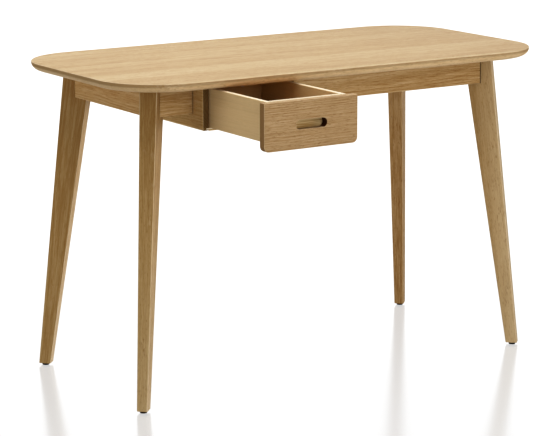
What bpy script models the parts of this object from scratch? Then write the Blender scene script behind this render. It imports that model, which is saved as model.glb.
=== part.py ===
"""Oak writing desk with one open drawer, modelled piece by piece.

Metres, +Z up. The desk's front faces -Y. The floor is Z = 0, and the origin
is under the middle of the whole object, its open drawer included.
"""
import math

import bmesh
import bpy
from mathutils import Matrix, Vector

# Overall size. The frame of legs and aprons is modelled about its own middle.
LENGTH = 1.200
DEPTH = 0.600
HEIGHT = 0.760
GAP = 0.0003            # clearance between touching pieces
OVERCUT = 0.0020        # how far a cutter reaches past the face it enters
EDGE_ROUND = 0.0010     # softened edges of the wooden pieces
THIN_ROUND = 0.0005     # the same on thin strips

# Desktop: a rounded rectangle whose lower edge is undercut by a quarter ellipse
TOP_THICK = 0.021
TOP_CORNER = 0.157
TOP_X = 0.008           # the desktop lies this far to the right of the frame below it
TOP_UNDERCUT = 0.022    # how far the underside is set back from the rim
TOP_LAND = 0.0030       # upright strip left under the upper arris
UNDERSIDE = HEIGHT - TOP_THICK
BELOW_TOP = UNDERSIDE - GAP

# Legs: tapered, splayed, turned 45 degrees in plan. Sizes are (across, along) the diagonal.
LEG_HEAD_AT = (0.4675, 0.1720)
LEG_FOOT_AT = (0.5402, 0.2408)
LEG_HEAD_SIZE = (0.0417, 0.0674)
LEG_FOOT_SIZE = (0.0252, 0.0290)
LEG_FOOT_Z = 0.0055
LEG_ROUND = 0.0025
DIAGONAL = math.sqrt(0.5)

# Glides under the legs
GLIDE_RADIUS = 0.0085
GLIDE_HEIGHT = LEG_FOOT_Z - GAP
GLIDE_STEM_RADIUS = 0.0025
GLIDE_STEM_TOP = 0.0200
GLIDE_CHAMFER = 0.0012

# Aprons, measured to their outer faces
APRON_X = 0.4867
APRON_Y = 0.1943
APRON_HIGH = 0.0685
APRON_THICK = 0.0200
APRON_LOW = UNDERSIDE - APRON_HIGH

# Corner blocks and what holds the legs and the desktop
BLOCK_LOW = APRON_LOW + 0.006
BLOCK_THICK = 0.030
BLOCK_REACH = 0.200            # of the blank that the corner block is cut from
BOLT_RADIUS = 0.0040
BOLT_LENGTH = 0.060
BOLT_CHAMFER = 0.0015
BOLT_LEVELS = (0.018, 0.044)   # above the underside of the block
WASHER_RADIUS = 0.0080
WASHER_HIGH = 0.0016
HEX_RADIUS = 0.0075
HEX_HIGH = 0.0055
SCREW_RADIUS = 0.0020
SCREW_HEAD_RADIUS = 0.0042
SCREW_HEAD_HIGH = 0.0028
SCREW_TIP = 0.0050
BLOCK_SCREW_LENGTH = 0.072
BLOCK_SCREW_OFFSET = 0.024     # from the bolts, across the diagonal
BRACKET_THICK = 0.0020
BRACKET_ARM = 0.0200
BRACKET_WIDE = 0.0300
BRACKET_SCREW_LENGTH = 0.0160
BRACKET_BACK_X = 0.0
BRACKET_FRONT_X = 0.170

# Drawer case, hung under the desktop through the front apron
CASE_X = -0.2497
CASE_WIDE = 0.2483
CASE_PANEL = 0.0160
CASE_LOW = 0.6353
CASE_FRONT = -0.2382
CASE_BACK = 0.1220
CASE_BACK_THICK = 0.0120
CASE_NOSE_RADIUS = 0.0055
CASE_LEFT = CASE_X - CASE_WIDE / 2
CASE_RIGHT = CASE_X + CASE_WIDE / 2
STRIP_THICK = 0.0032
STRIP_DEEP = 0.0400
PLY_THICK = 0.0028
PLY_LOW = CASE_LOW + STRIP_THICK + GAP
PLY_GROOVE = 0.0075
CLEAT = 0.0180
CLEAT_FRONT = -0.1450
CLEAT_BACK = 0.0950
CLEAT_SCREW_LENGTH = 0.0300
CLEAT_SCREW_INSET = 0.0350

# Drawer
FRONT_THICK = 0.0180
FRONT_FACE = -0.4930     # Y of its outer face as the drawer stands open
FRONT_LOW = 0.6245
FRONT_TOP = 0.7334
FRONT_CORNER = 0.0130
FRONT_TOP_CORNER = 0.0020
SLOT_LONG = 0.0820
SLOT_HIGH = 0.0210
SLOT_Z = 0.6786
BOX_SIDE = 0.0120
BOX_CLEARANCE = 0.0015   # each side, between the drawer and its case
BOX_TOP = 0.7334
BOX_LOW = PLY_LOW + PLY_THICK + GAP
BOX_FRONT = FRONT_FACE + FRONT_THICK + GAP
BOX_BACK = -0.1335
BOX_LEFT = CASE_LEFT + CASE_PANEL + BOX_CLEARANCE
BOX_RIGHT = CASE_RIGHT - CASE_PANEL - BOX_CLEARANCE
BOTTOM_LOW = BOX_LOW + 0.0100
BOTTOM_THICK = 0.0050
BOTTOM_GROOVE = 0.0050
FRONT_SCREW_LENGTH = 0.0250
FRONT_SCREW_SPREAD = 0.0700
STOP_FRONT = -0.2200
STOP_DEEP = 0.0200
STOP_WIDE = 0.0600
STOP_HIGH = 0.0120
STOP_SCREW_LENGTH = 0.0240

# The object's box runs from the open drawer's front to the desktop's back edge
DESK_X = -TOP_X
DESK_Y = -(FRONT_FACE + DEPTH / 2) / 2

OBJECT_NAME = "writing_desk"
CORNERS = {
    "front_left": (-1, -1),
    "front_right": (1, -1),
    "back_left": (-1, 1),
    "back_right": (1, 1),
}
COLOURS = {
    "oak": ((0.52, 0.35, 0.18), 0.55, 0.0),
    "birch": ((0.68, 0.52, 0.31), 0.55, 0.0),
    "beech": ((0.56, 0.38, 0.22), 0.60, 0.0),
    "steel": ((0.55, 0.55, 0.56), 0.35, 1.0),
    "glide": ((0.03, 0.03, 0.03), 0.50, 0.0),
}


# ---------------------------------------------------------------- scene helpers

def clear_scene():
    for old in list(bpy.data.objects):
        bpy.data.objects.remove(old, do_unlink=True)


def new_collection(name):
    made = bpy.data.collections.new(name)
    bpy.context.scene.collection.children.link(made)
    return made


def new_empty(name, location, parent=None):
    empty = bpy.data.objects.new(name, None)
    empty.location = location
    empty.parent = parent
    bpy.context.scene.collection.objects.link(empty)
    return empty


def material(part_name, kind):
    """Each piece has a material of its own."""
    colour, roughness, metallic = COLOURS[kind]
    made = bpy.data.materials.new(part_name + "_" + kind)
    made.use_nodes = True
    shader = made.node_tree.nodes["Principled BSDF"]
    shader.inputs["Base Color"].default_value = (*colour, 1.0)
    shader.inputs["Roughness"].default_value = roughness
    shader.inputs["Metallic"].default_value = metallic
    made.diffuse_color = (*colour, 1.0)
    return made


class Shop:
    """Keeps the two collections and the empty that each new piece hangs on."""

    def __init__(self):
        self.parts = new_collection(OBJECT_NAME)
        self.cutters = new_collection("cutters")
        self.origin = new_empty("desk_origin", (DESK_X, DESK_Y, 0.0))
        self.drawer_origin = new_empty("drawer_origin", (CASE_X, FRONT_FACE, SLOT_Z), self.origin)

    def place(self, obj, in_drawer=False):
        """Hang an object modelled in desk coordinates on the desk or on the drawer."""
        if in_drawer:
            obj.parent = self.drawer_origin
            obj.location = obj.location - self.drawer_origin.location
        else:
            obj.parent = self.origin

    def add(self, name, mesh, kind, in_drawer=False, at=(0.0, 0.0, 0.0)):
        mesh.name = name
        obj = bpy.data.objects.new(name, mesh)
        obj.location = at
        mesh.materials.clear()
        mesh.materials.append(material(name, kind))
        self.parts.objects.link(obj)
        self.place(obj, in_drawer)
        return obj

    def add_cutter(self, name, mesh, in_drawer=False):
        obj = bpy.data.objects.new(name, mesh)
        obj.hide_render = True
        obj.display_type = "WIRE"
        self.cutters.objects.link(obj)
        self.place(obj, in_drawer)
        return obj


def mesh_from(bm):
    bmesh.ops.recalc_face_normals(bm, faces=bm.faces)
    mesh = bpy.data.meshes.new("shape")
    bm.to_mesh(mesh)
    bm.free()
    return mesh


def round_edges(bm, edges, width, segments):
    """Round some edges of a mesh that is still being built."""
    bmesh.ops.recalc_face_normals(bm, faces=bm.faces)
    bm.normal_update()
    bmesh.ops.bevel(bm, geom=edges, offset=width, segments=segments, profile=0.5, affect="EDGES",
                    offset_type="OFFSET", clamp_overlap=True)


# ---------------------------------------------------------------- shape helpers

def box_mesh(low, high):
    low = Vector(low)
    high = Vector(high)
    bm = bmesh.new()
    bmesh.ops.create_cube(bm, size=1.0)
    bmesh.ops.scale(bm, vec=high - low, verts=bm.verts)
    bmesh.ops.translate(bm, vec=(low + high) / 2, verts=bm.verts)
    return mesh_from(bm)


def cut_block_mesh(low, high, planes):
    """A box trimmed by planes, each given as a point and the normal of the side removed."""
    bm = bmesh.new()
    bm.from_mesh(box_mesh(low, high))
    for point, normal in planes:
        everything = bm.verts[:] + bm.edges[:] + bm.faces[:]
        bmesh.ops.bisect_plane(bm, geom=everything, plane_co=point, plane_no=normal,
                               dist=1e-7, clear_outer=True)
        bmesh.ops.holes_fill(bm, edges=[edge for edge in bm.edges if edge.is_boundary])
    return mesh_from(bm)


def drill_mesh(holes, segments=16):
    """Round cutters, each from a point to another with a radius."""
    bm = bmesh.new()
    for start, end, radius in holes:
        start = Vector(start)
        end = Vector(end)
        turn = Vector((0.0, 0.0, 1.0)).rotation_difference(end - start).to_matrix().to_4x4()
        place = Matrix.Translation((start + end) / 2) @ turn
        bmesh.ops.create_cone(bm, cap_ends=True, segments=segments, radius1=radius, radius2=radius,
                              depth=(end - start).length, matrix=place)
    return mesh_from(bm)


def arc(centre, radius, start, end, steps):
    """Points on an arc, angles in degrees."""
    points = []
    for step in range(steps + 1):
        angle = math.radians(start + (end - start) * step / steps)
        points.append((centre[0] + radius * math.cos(angle), centre[1] + radius * math.sin(angle)))
    return points


def rounded_rectangle(left, low, right, high, radii, steps):
    """Outline from the lower right corner round; radii are low right, high right, high left, low left."""
    low_right, high_right, high_left, low_left = radii
    points = arc((right - low_right, low + low_right), low_right, -90, 0, steps)
    points += arc((right - high_right, high - high_right), high_right, 0, 90, steps)
    points += arc((left + high_left, high - high_left), high_left, 90, 180, steps)
    points += arc((left + low_left, low + low_left), low_left, 180, 270, steps)
    return points


def slab_mesh(outlines, thickness):
    """A flat outline, with any holes after it, as a closed slab centred on Z = 0."""
    curve = bpy.data.curves.new("outline", "CURVE")
    curve.dimensions = "2D"
    curve.fill_mode = "BOTH"
    curve.extrude = thickness / 2
    for outline in outlines:
        spline = curve.splines.new("POLY")
        spline.points.add(len(outline) - 1)
        for point, (x, y) in zip(spline.points, outline):
            point.co = (x, y, 0.0, 1.0)
        spline.use_cyclic_u = True
    guide = bpy.data.objects.new("outline", curve)
    bpy.context.scene.collection.objects.link(guide)
    ready = guide.evaluated_get(bpy.context.evaluated_depsgraph_get())
    flat = bpy.data.meshes.new_from_object(ready)
    bpy.data.objects.remove(guide, do_unlink=True)
    bm = bmesh.new()
    bm.from_mesh(flat)
    bmesh.ops.remove_doubles(bm, verts=bm.verts, dist=1e-5)
    return mesh_from(bm)


def stand_up(mesh, turn, centre):
    """Turn a slab's mesh and move its middle to a point."""
    mesh.transform(Matrix.Translation(centre) @ turn)
    return mesh


def turned(shop, name, profile, kind, at, direction, steps, in_drawer=False):
    """A turned piece: its profile lies in XZ and runs down the outer side, head first.

    The local +Z axis, from tip to head, is laid along the direction given.
    """
    mesh = bpy.data.meshes.new(name)
    edges = [(index, index + 1) for index in range(len(profile) - 1)]
    mesh.from_pydata([(radius, 0.0, height) for radius, height in profile], edges, [])
    obj = shop.add(name, mesh, kind, in_drawer, at)
    obj.rotation_mode = "QUATERNION"
    obj.rotation_quaternion = Vector((0.0, 0.0, 1.0)).rotation_difference(Vector(direction))
    screw = obj.modifiers.new("turn", "SCREW")
    screw.steps = steps
    screw.render_steps = steps
    screw.use_merge_vertices = True
    screw.merge_threshold = 0.00005
    return obj


def soften(obj, width=EDGE_ROUND, segments=2):
    bevel = obj.modifiers.new("soften", "BEVEL")
    bevel.width = width
    bevel.segments = segments
    bevel.limit_method = "ANGLE"
    bevel.angle_limit = math.radians(30)
    return bevel


def cut(shop, obj, name, mesh, in_drawer=False):
    boolean = obj.modifiers.new(name, "BOOLEAN")
    boolean.operation = "DIFFERENCE"
    boolean.solver = "EXACT"
    boolean.object = shop.add_cutter(obj.name + "_" + name, mesh, in_drawer)


# ---------------------------------------------------------------- desktop

def top_holes():
    """Blind screw holes in the desktop's underside, as (x, y, depth)."""
    holes = []
    for signs in CORNERS.values():
        x, y = block_screw_point(signs)
        holes.append((x, y, BLOCK_LOW + BLOCK_SCREW_LENGTH - UNDERSIDE))
    for x in cleat_centres():
        for y in cleat_screw_ys():
            holes.append((x, y, CLEAT_SCREW_LENGTH - CLEAT))
    for x, side in bracket_places():
        y = side * (APRON_Y - APRON_THICK - GAP - BRACKET_ARM / 2)
        holes.append((x, y, BRACKET_SCREW_LENGTH - BRACKET_THICK))
    holes.append((CASE_X, STOP_FRONT + STOP_DEEP / 2, STOP_SCREW_LENGTH - STOP_HIGH))
    return holes


def make_desktop(shop):
    """The undercut is a round bevel made at a stretched height, then squashed to an ellipse."""
    stretch = TOP_UNDERCUT / (TOP_THICK - TOP_LAND)
    outline = rounded_rectangle(TOP_X - LENGTH / 2, -DEPTH / 2, TOP_X + LENGTH / 2, DEPTH / 2,
                                [TOP_CORNER] * 4, 12)
    bm = bmesh.new()
    bm.from_mesh(slab_mesh([outline], TOP_THICK * stretch))
    bmesh.ops.dissolve_limit(bm, angle_limit=0.001, verts=bm.verts, edges=bm.edges)
    bm.normal_update()
    rim = [edge for edge in bm.edges if all(vert.co.z < 0.0 for vert in edge.verts)
           and min(face.normal.z for face in edge.link_faces) < -0.5]
    round_edges(bm, rim, TOP_UNDERCUT, 8)
    bmesh.ops.scale(bm, vec=(1.0, 1.0, 1.0 / stretch), verts=bm.verts)
    bmesh.ops.translate(bm, vec=(0.0, 0.0, HEIGHT - TOP_THICK / 2), verts=bm.verts)
    desktop = shop.add("desktop", mesh_from(bm), "oak")
    holes = []
    for x, y, depth in top_holes():
        holes.append(((x, y, UNDERSIDE - OVERCUT), (x, y, UNDERSIDE + depth + GAP), SCREW_RADIUS + GAP))
    cut(shop, desktop, "screw_holes", drill_mesh(holes, 12))


# ---------------------------------------------------------------- legs and glides

def leg_section(height):
    """Centre and size of a leg's level section at a height, in the +X +Y quarter."""
    share = (UNDERSIDE - height) / UNDERSIDE
    centre = [head + (foot - head) * share for head, foot in zip(LEG_HEAD_AT, LEG_FOOT_AT)]
    size = [head + (foot - head) * share for head, foot in zip(LEG_HEAD_SIZE, LEG_FOOT_SIZE)]
    return centre, size


def leg_corner(signs, height, across, along):
    """A leg's corner: across and along are -1 or 1 on the two axes of its turned section."""
    (x, y), (wide, deep) = leg_section(height)
    x += DIAGONAL * (along * deep - across * wide) / 2
    y += DIAGONAL * (along * deep + across * wide) / 2
    return Vector((signs[0] * x, signs[1] * y, height))


def leg_plane(signs, across, along):
    """A point on a long face of a leg and the face's outward normal.

    One of across and along is -1 or 1 and names the face; the other is 0.
    """
    if across == 0:
        picks = [(-1, along), (1, along)]
    else:
        picks = [(across, -1), (across, 1)]
    low = [leg_corner(signs, LEG_FOOT_Z, *pick) for pick in picks]
    high = [leg_corner(signs, BELOW_TOP, *pick) for pick in picks]
    normal = (high[1] - high[0]).cross(low[0] - high[0]).normalized()
    outward = high[0] - (leg_corner(signs, BELOW_TOP, 1, 1) + leg_corner(signs, BELOW_TOP, -1, -1)) / 2
    if normal.dot(outward) < 0.0:
        normal = -normal
    return high[0], normal


def bolt_line(signs, level):
    """Where a leg bolt's head seats on its corner block, and the way its shank points."""
    outward = Vector((signs[0] * DIAGONAL, signs[1] * DIAGONAL, 0.0))
    centre = leg_section(UNDERSIDE)[0]
    middle = Vector((signs[0] * centre[0], signs[1] * centre[1], 0.0))
    seat = middle + outward * (block_inner_radius(signs) - middle.dot(outward))
    seat.z = BLOCK_LOW + level
    return seat, outward


def make_leg(shop, corner, signs):
    bm = bmesh.new()
    bmesh.ops.create_cube(bm, size=2.0)
    for vert in bm.verts:
        height = BELOW_TOP if vert.co.z > 0.0 else LEG_FOOT_Z
        vert.co = leg_corner(signs, height, round(vert.co.x), round(vert.co.y))
    long_edges = [edge for edge in bm.edges if abs(edge.verts[0].co.z - edge.verts[1].co.z) > 0.1]
    round_edges(bm, long_edges, LEG_ROUND, 3)
    leg = shop.add("leg_" + corner, mesh_from(bm), "oak")
    x = signs[0] * LEG_FOOT_AT[0]
    y = signs[1] * LEG_FOOT_AT[1]
    holes = [((x, y, 0.0), (x, y, GLIDE_STEM_TOP + GAP), GLIDE_STEM_RADIUS + GAP)]
    for level in BOLT_LEVELS:
        seat, outward = bolt_line(signs, level)
        holes.append((seat, seat + outward * (BOLT_LENGTH + GAP), BOLT_RADIUS + GAP))
    cut(shop, leg, "bores", drill_mesh(holes))


def make_glide(shop, corner, signs):
    profile = [
        (0.0, GLIDE_STEM_TOP),
        (GLIDE_STEM_RADIUS, GLIDE_STEM_TOP),
        (GLIDE_STEM_RADIUS, GLIDE_HEIGHT),
        (GLIDE_RADIUS, GLIDE_HEIGHT),
        (GLIDE_RADIUS, GLIDE_CHAMFER),
        (GLIDE_RADIUS - GLIDE_CHAMFER, 0.0),
        (0.0, 0.0),
    ]
    at = (signs[0] * LEG_FOOT_AT[0], signs[1] * LEG_FOOT_AT[1], 0.0)
    turned(shop, "glide_" + corner, profile, "glide", at, (0.0, 0.0, 1.0), 24)


# ---------------------------------------------------------------- aprons

def leg_side_planes(ends):
    """Mitre planes where aprons meet leg faces; ends are (corner signs, leg face) pairs."""
    planes = []
    for signs, across in ends:
        point, normal = leg_plane(signs, across, 0)
        planes.append((point + normal * GAP, -normal))
    return planes


def make_aprons(shop):
    low = APRON_LOW
    inner_x = APRON_X - APRON_THICK
    inner_y = APRON_Y - APRON_THICK
    back = cut_block_mesh((-APRON_X, inner_y, low), (APRON_X, APRON_Y, BELOW_TOP),
                          leg_side_planes([((-1, 1), 1), ((1, 1), 1)]))
    soften(shop.add("apron_back", back, "oak"))
    for name, side in (("apron_left", -1), ("apron_right", 1)):
        inner = side * inner_x
        outer = side * APRON_X
        mesh = cut_block_mesh((min(inner, outer), -APRON_Y, low), (max(inner, outer), APRON_Y, BELOW_TOP),
                              leg_side_planes([((side, -1), -1), ((side, 1), -1)]))
        soften(shop.add(name, mesh, "oak"))
    left = cut_block_mesh((-APRON_X, -APRON_Y, low), (CASE_LEFT - GAP, -inner_y, BELOW_TOP),
                          leg_side_planes([((-1, -1), 1)]))
    soften(shop.add("apron_front_left", left, "oak"))
    right = cut_block_mesh((CASE_RIGHT + GAP, -APRON_Y, low), (APRON_X, -inner_y, BELOW_TOP),
                           leg_side_planes([((1, -1), 1)]))
    soften(shop.add("apron_front_right", right, "oak"))
    for x, side in bracket_places():
        obj = shop.parts.objects["apron_back" if side > 0 else "apron_front_right"]
        z = UNDERSIDE - BRACKET_ARM / 2
        face = side * inner_y
        end = face + side * (BRACKET_SCREW_LENGTH - BRACKET_THICK)
        hole = ((x, face - side * OVERCUT, z), (x, end, z), SCREW_RADIUS + GAP)
        cut(shop, obj, "bracket_hole", drill_mesh([hole], 12))


# ---------------------------------------------------------------- corner blocks, bolts, screws, brackets

def block_inner_radius(signs):
    """Distance along the diagonal from the desk's middle to the corner block's inner face."""
    outward = Vector((signs[0] * DIAGONAL, signs[1] * DIAGONAL, 0.0))
    middle_height = (BLOCK_LOW + BELOW_TOP) / 2
    return leg_corner(signs, middle_height, 0, -1).dot(outward) - BLOCK_THICK


def block_screw_point(signs):
    centre = leg_section(UNDERSIDE)[0]
    radius = block_inner_radius(signs) + BLOCK_THICK / 2
    across = DIAGONAL * (centre[1] - centre[0]) + BLOCK_SCREW_OFFSET
    x = DIAGONAL * (radius - across)
    y = DIAGONAL * (radius + across)
    return signs[0] * x, signs[1] * y


def make_corner_block(shop, corner, signs):
    outward = Vector((signs[0] * DIAGONAL, signs[1] * DIAGONAL, 0.0))
    point, normal = leg_plane(signs, 0, -1)
    limit_x = signs[0] * (APRON_X - APRON_THICK - GAP)
    limit_y = signs[1] * (APRON_Y - APRON_THICK - GAP)
    planes = [
        (point + normal * GAP, -normal),
        (outward * block_inner_radius(signs), -outward),
        (Vector((limit_x, 0.0, 0.0)), Vector((signs[0], 0.0, 0.0))),
        (Vector((0.0, limit_y, 0.0)), Vector((0.0, signs[1], 0.0))),
    ]
    x_ends = sorted((limit_x + signs[0] * OVERCUT, limit_x - signs[0] * BLOCK_REACH))
    y_ends = sorted((limit_y + signs[1] * OVERCUT, limit_y - signs[1] * BLOCK_REACH))
    mesh = cut_block_mesh((x_ends[0], y_ends[0], BLOCK_LOW), (x_ends[1], y_ends[1], BELOW_TOP), planes)
    block = shop.add("corner_block_" + corner, mesh, "beech")
    soften(block, segments=1)
    x, y = block_screw_point(signs)
    holes = [((x, y, BLOCK_LOW - OVERCUT), (x, y, BELOW_TOP + OVERCUT), SCREW_RADIUS + GAP)]
    for level in BOLT_LEVELS:
        seat, direction = bolt_line(signs, level)
        holes.append((seat - direction * OVERCUT, seat + direction * BOLT_LENGTH, BOLT_RADIUS + GAP))
    cut(shop, block, "bores", drill_mesh(holes))


def make_leg_bolt(shop, name, seat, outward):
    """Hex head with a washer face; the union joins the head to the turned shank."""
    profile = [
        (0.0, WASHER_HIGH),
        (WASHER_RADIUS, WASHER_HIGH),
        (WASHER_RADIUS, 0.0),
        (BOLT_RADIUS, 0.0),
        (BOLT_RADIUS, BOLT_CHAMFER - BOLT_LENGTH),
        (BOLT_RADIUS - BOLT_CHAMFER, -BOLT_LENGTH),
        (0.0, -BOLT_LENGTH),
    ]
    at = seat - outward * GAP
    bolt = turned(shop, name, profile, "steel", at, -outward, 16)
    bm = bmesh.new()
    bmesh.ops.create_cone(bm, cap_ends=True, segments=6, radius1=HEX_RADIUS, radius2=HEX_RADIUS,
                          depth=HEX_HIGH)
    bmesh.ops.translate(bm, vec=(0.0, 0.0, (WASHER_HIGH + HEX_HIGH) / 2), verts=bm.verts)
    bmesh.ops.transform(bm, matrix=Matrix.Translation(at) @ bolt.rotation_quaternion.to_matrix().to_4x4(),
                        verts=bm.verts)
    union = bolt.modifiers.new("hex_head", "BOOLEAN")
    union.operation = "UNION"
    union.solver = "EXACT"
    union.object = shop.add_cutter(name + "_hex", mesh_from(bm))


def make_screw(shop, name, at, into, length, in_drawer=False):
    """A round-head screw whose head seats at a point, its shank pointing the way given."""
    into = Vector(into)
    dome = [(SCREW_HEAD_RADIUS * math.sin(angle), SCREW_HEAD_HIGH * math.cos(angle))
            for angle in (math.radians(30 * step) for step in range(4))]
    shank = [(SCREW_RADIUS, 0.0), (SCREW_RADIUS, SCREW_TIP - length), (0.0, 2 * GAP - length)]
    profile = dome + shank
    turned(shop, name, profile, "steel", Vector(at) - into * GAP, -into, 12, in_drawer)


def bracket_places():
    """The two steel brackets, as (x, side); side is 1 on the back apron and -1 on the front one."""
    return [(BRACKET_BACK_X, 1), (BRACKET_FRONT_X, -1)]


def make_bracket(shop, name, x, side):
    """An angle of bent steel: one arm under the desktop, one on the apron's inner face."""
    face = APRON_Y - APRON_THICK - GAP
    outline = [(0.0, 0.0), (BRACKET_ARM, 0.0), (BRACKET_ARM, BRACKET_THICK), (BRACKET_THICK, BRACKET_THICK),
               (BRACKET_THICK, BRACKET_ARM), (0.0, BRACKET_ARM)]
    mesh = slab_mesh([outline], BRACKET_WIDE)
    to_desk = Matrix(((0.0, 0.0, 1.0, x), (-side, 0.0, 0.0, side * face), (0.0, -1.0, 0.0, BELOW_TOP),
                      (0.0, 0.0, 0.0, 1.0)))
    mesh.transform(to_desk)
    if to_desk.determinant() < 0.0:
        mesh.flip_normals()
    bracket = shop.add(name, mesh, "steel")
    y = side * (face - BRACKET_ARM / 2)
    z = UNDERSIDE - BRACKET_ARM / 2
    holes = [
        ((x, y, BELOW_TOP - BRACKET_THICK - OVERCUT), (x, y, BELOW_TOP + OVERCUT), SCREW_RADIUS + GAP),
        ((x, side * (face + OVERCUT), z), (x, side * (face - BRACKET_THICK - OVERCUT), z),
         SCREW_RADIUS + GAP),
    ]
    cut(shop, bracket, "holes", drill_mesh(holes, 12))
    make_screw(shop, name + "_screw_top", (x, y, BELOW_TOP - BRACKET_THICK), (0.0, 0.0, 1.0),
               BRACKET_SCREW_LENGTH)
    make_screw(shop, name + "_screw_apron", (x, side * (face - BRACKET_THICK), z), (0.0, side, 0.0),
               BRACKET_SCREW_LENGTH)


def make_fixings(shop):
    for corner, signs in CORNERS.items():
        make_corner_block(shop, corner, signs)
        for number, level in enumerate(BOLT_LEVELS, start=1):
            seat, outward = bolt_line(signs, level)
            make_leg_bolt(shop, "leg_bolt_" + corner + "_" + str(number), seat, outward)
        x, y = block_screw_point(signs)
        make_screw(shop, "top_screw_" + corner, (x, y, BLOCK_LOW), (0.0, 0.0, 1.0), BLOCK_SCREW_LENGTH)
    for name, (x, side) in zip(("top_bracket_back", "top_bracket_front"), bracket_places()):
        make_bracket(shop, name, x, side)


# ---------------------------------------------------------------- drawer case

def cleat_centres():
    return [CASE_LEFT - GAP - CLEAT / 2, CASE_RIGHT + GAP + CLEAT / 2]


def cleat_screw_ys():
    return [CLEAT_FRONT + CLEAT_SCREW_INSET, CLEAT_BACK - CLEAT_SCREW_INSET]


def make_case(shop):
    inner_left = CASE_LEFT + CASE_PANEL
    inner_right = CASE_RIGHT - CASE_PANEL
    outline = rounded_rectangle(CASE_FRONT, CASE_LOW, CASE_BACK, BELOW_TOP,
                                (EDGE_ROUND, EDGE_ROUND, EDGE_ROUND, CASE_NOSE_RADIUS), 5)
    upright = Matrix(((0.0, 0.0, 1.0, 0.0), (1.0, 0.0, 0.0, 0.0), (0.0, 1.0, 0.0, 0.0), (0.0, 0.0, 0.0, 1.0)))
    groove_low = PLY_LOW - GAP
    groove_high = PLY_LOW + PLY_THICK + GAP
    for name, inner, outer in (("case_side_left", inner_left, CASE_LEFT),
                               ("case_side_right", inner_right, CASE_RIGHT)):
        centre = ((inner + outer) / 2, 0.0, 0.0)
        panel = shop.add(name, stand_up(slab_mesh([outline], CASE_PANEL), upright, centre), "oak")
        into = PLY_GROOVE if inner > outer else -PLY_GROOVE
        ends = sorted((inner + math.copysign(OVERCUT, into), inner - into))
        cut(shop, panel, "groove", box_mesh((ends[0], CASE_FRONT - OVERCUT, groove_low),
                                            (ends[1], CASE_BACK + OVERCUT, groove_high)))
    back_face = CASE_BACK - CASE_BACK_THICK
    shop.add("case_bottom", box_mesh((inner_left - PLY_GROOVE + GAP, CASE_FRONT, PLY_LOW),
                                     (inner_right + PLY_GROOVE - GAP, back_face - GAP, PLY_LOW + PLY_THICK)),
             "birch")
    strip = shop.add("case_front_strip", box_mesh((inner_left + GAP, CASE_FRONT, CASE_LOW),
                                                  (inner_right - GAP, CASE_FRONT + STRIP_DEEP,
                                                   CASE_LOW + STRIP_THICK)), "oak")
    soften(strip, THIN_ROUND, 1)
    back = shop.add("case_back", box_mesh((inner_left + GAP, back_face, CASE_LOW),
                                          (inner_right - GAP, CASE_BACK, BELOW_TOP)), "birch")
    soften(back, THIN_ROUND, 1)


def make_cleats(shop):
    for side, x in zip(("left", "right"), cleat_centres()):
        low = (x - CLEAT / 2, CLEAT_FRONT, BELOW_TOP - CLEAT)
        high = (x + CLEAT / 2, CLEAT_BACK, BELOW_TOP)
        cleat = shop.add("case_cleat_" + side, box_mesh(low, high), "beech")
        soften(cleat)
        holes = []
        for number, y in enumerate(cleat_screw_ys(), start=1):
            holes.append(((x, y, low[2] - OVERCUT), (x, y, high[2] + OVERCUT), SCREW_RADIUS + GAP))
            make_screw(shop, "case_screw_" + side + "_" + str(number), (x, y, low[2]), (0.0, 0.0, 1.0),
                       CLEAT_SCREW_LENGTH)
        cut(shop, cleat, "holes", drill_mesh(holes, 12))


def make_drawer_stop(shop):
    low = (CASE_X - STOP_WIDE / 2, STOP_FRONT, BELOW_TOP - STOP_HIGH)
    high = (CASE_X + STOP_WIDE / 2, STOP_FRONT + STOP_DEEP, BELOW_TOP)
    stop = shop.add("drawer_stop", box_mesh(low, high), "beech")
    soften(stop)
    y = STOP_FRONT + STOP_DEEP / 2
    hole = ((CASE_X, y, low[2] - OVERCUT), (CASE_X, y, high[2] + OVERCUT), SCREW_RADIUS + GAP)
    cut(shop, stop, "hole", drill_mesh([hole], 12))
    make_screw(shop, "stop_screw", (CASE_X, y, low[2]), (0.0, 0.0, 1.0), STOP_SCREW_LENGTH)


# ---------------------------------------------------------------- drawer

def front_screw_points():
    y = BOX_FRONT + BOX_SIDE
    return [(CASE_X - FRONT_SCREW_SPREAD, y, SLOT_Z), (CASE_X + FRONT_SCREW_SPREAD, y, SLOT_Z)]


def make_drawer_front(shop):
    face = rounded_rectangle(CASE_LEFT, FRONT_LOW, CASE_RIGHT, FRONT_TOP,
                             (FRONT_CORNER, FRONT_TOP_CORNER, FRONT_TOP_CORNER, FRONT_CORNER), 6)
    radius = SLOT_HIGH / 2
    left_end = (CASE_X - SLOT_LONG / 2 + radius, SLOT_Z)
    right_end = (CASE_X + SLOT_LONG / 2 - radius, SLOT_Z)
    slot = arc(right_end, radius, -90, 90, 10) + arc(left_end, radius, 90, 270, 10)
    upright = Matrix.Rotation(math.radians(90), 4, "X")
    centre = (0.0, FRONT_FACE + FRONT_THICK / 2, 0.0)
    front = shop.add("drawer_front", stand_up(slab_mesh([face, slot], FRONT_THICK), upright, centre), "oak",
                     in_drawer=True)
    soften(front)
    holes = []
    for x, y, z in front_screw_points():
        tip = y - FRONT_SCREW_LENGTH
        holes.append(((x, FRONT_FACE + FRONT_THICK + OVERCUT, z), (x, tip, z), SCREW_RADIUS + GAP))
    cut(shop, front, "holes", drill_mesh(holes, 12), in_drawer=True)


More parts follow.
